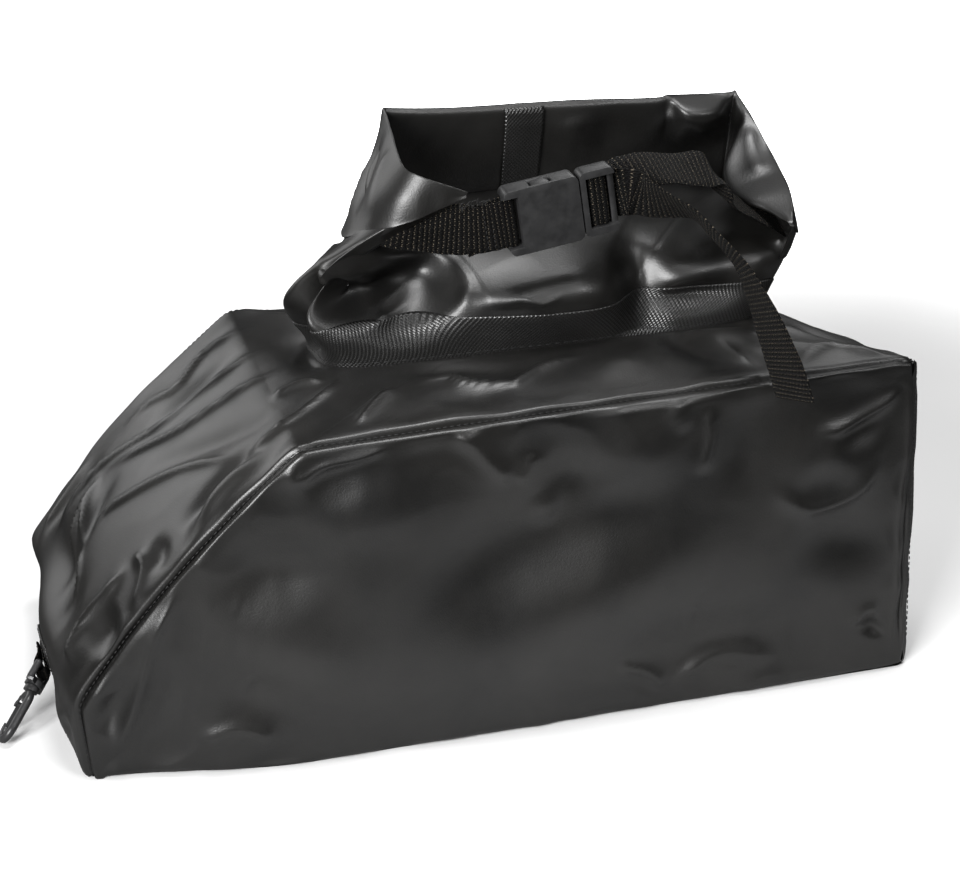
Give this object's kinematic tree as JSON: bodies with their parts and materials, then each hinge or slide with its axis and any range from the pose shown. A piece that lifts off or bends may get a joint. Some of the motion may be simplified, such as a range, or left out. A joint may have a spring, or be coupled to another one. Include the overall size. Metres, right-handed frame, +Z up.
{
  "type": "dry bag",
  "caption": "Wedge-shaped roll-top dry bag in black coated fabric, its rolled neck held by a buckled strap, with a swivel snap hook at the nose.",
  "frame": {"origin": "centre of the base, on the ground", "axes": "+Z up, +X from the sloping nose towards the square end, the nose with the hook at -X, the near side panel and the buckle at -Y"},
  "size_m": [0.563, 0.2606, 0.345],
  "materials": {
    "tarpaulin": "coated, satin",
    "welded_tape": "coated, fine scrim texture",
    "webbing": "woven herringbone",
    "buckle_plastic": "satin",
    "hook_plastic": "satin",
    "stiffener": "smooth"
  },
  "bodies": {
    "bag": {"side_panel_near": "tarpaulin", "side_panel_far": "tarpaulin", "bottom_panel": "tarpaulin", "nose_panel": "tarpaulin", "top_panel": "tarpaulin", "end_panel": "tarpaulin", "seam_tape_near": "welded_tape", "seam_tape_far": "welded_tape", "neck_wall": "tarpaulin", "neck_base_tape": "welded_tape", "hook_patch": "welded_tape", "hook_loop": "webbing"},
    "closure": {"rolled_closure": "tarpaulin", "neck_back_tape": "welded_tape", "stiffener_strip": "stiffener", "strap_short": "webbing", "strap_adjustable": "webbing", "buckle_socket": "buckle_plastic"},
    "plug": {"buckle_plug": "buckle_plastic", "strap_tail": "webbing"},
    "latch_upper": {"latch_upper": "buckle_plastic"},
    "latch_lower": {"latch_lower": "buckle_plastic"},
    "eye": {"swivel_eye": "hook_plastic"},
    "hook": {"hook_body": "hook_plastic"},
    "gate": {"hook_gate": "hook_plastic"}
  },
  "joints": [
    {"name": "closure_tilt", "type": "hinge", "parent": "bag", "child": "closure", "pos_m": [0.045, 0.015, 0.275], "axis": [1, 0, 0], "range_deg": [-25, 0], "stiffness_Nm_per_rad": 2, "deforming": ["neck_wall"]},
    {"name": "buckle_release", "type": "slide", "parent": "closure", "child": "plug", "axis": [0.989, 0, 0.1478], "range_m": [0, 0.034], "deforming": ["latch_upper", "latch_lower", "strap_adjustable"]},
    {"name": "latch_upper_press", "type": "hinge", "parent": "plug", "child": "latch_upper", "pos_m": [0.05144, -0.046, 0.32167], "axis": [0, -1, 0], "range_deg": [0, 9], "stiffness_Nm_per_rad": 1},
    {"name": "latch_lower_press", "type": "hinge", "parent": "plug", "child": "latch_lower", "pos_m": [0.0554, -0.046, 0.29516], "axis": [0, 1, 0], "range_deg": [0, 9], "stiffness_Nm_per_rad": 1},
    {"name": "eye_swing", "type": "hinge", "parent": "bag", "child": "eye", "pos_m": [-0.27313, -0.01639, 0.02984], "axis": [-0.1743, -0.5232, 0.8342], "range_deg": [-90, 30]},
    {"name": "hook_swivel", "type": "hinge", "parent": "eye", "child": "hook", "pos_m": [-0.27313, -0.01639, 0.02984], "axis": [-0.5856, -0.626, -0.5149], "continuous": true},
    {"name": "gate_open", "type": "hinge", "parent": "hook", "child": "gate", "pos_m": [-0.28924, -0.02597, 0.0136], "axis": [-0.7484, 0.1736, 0.6401], "range_deg": [0, 35], "stiffness_Nm_per_rad": 0.05}
  ],
  "couplings": [
    {"joint": "latch_lower_press", "follows": "latch_upper_press", "ratio": 1}
  ]
}
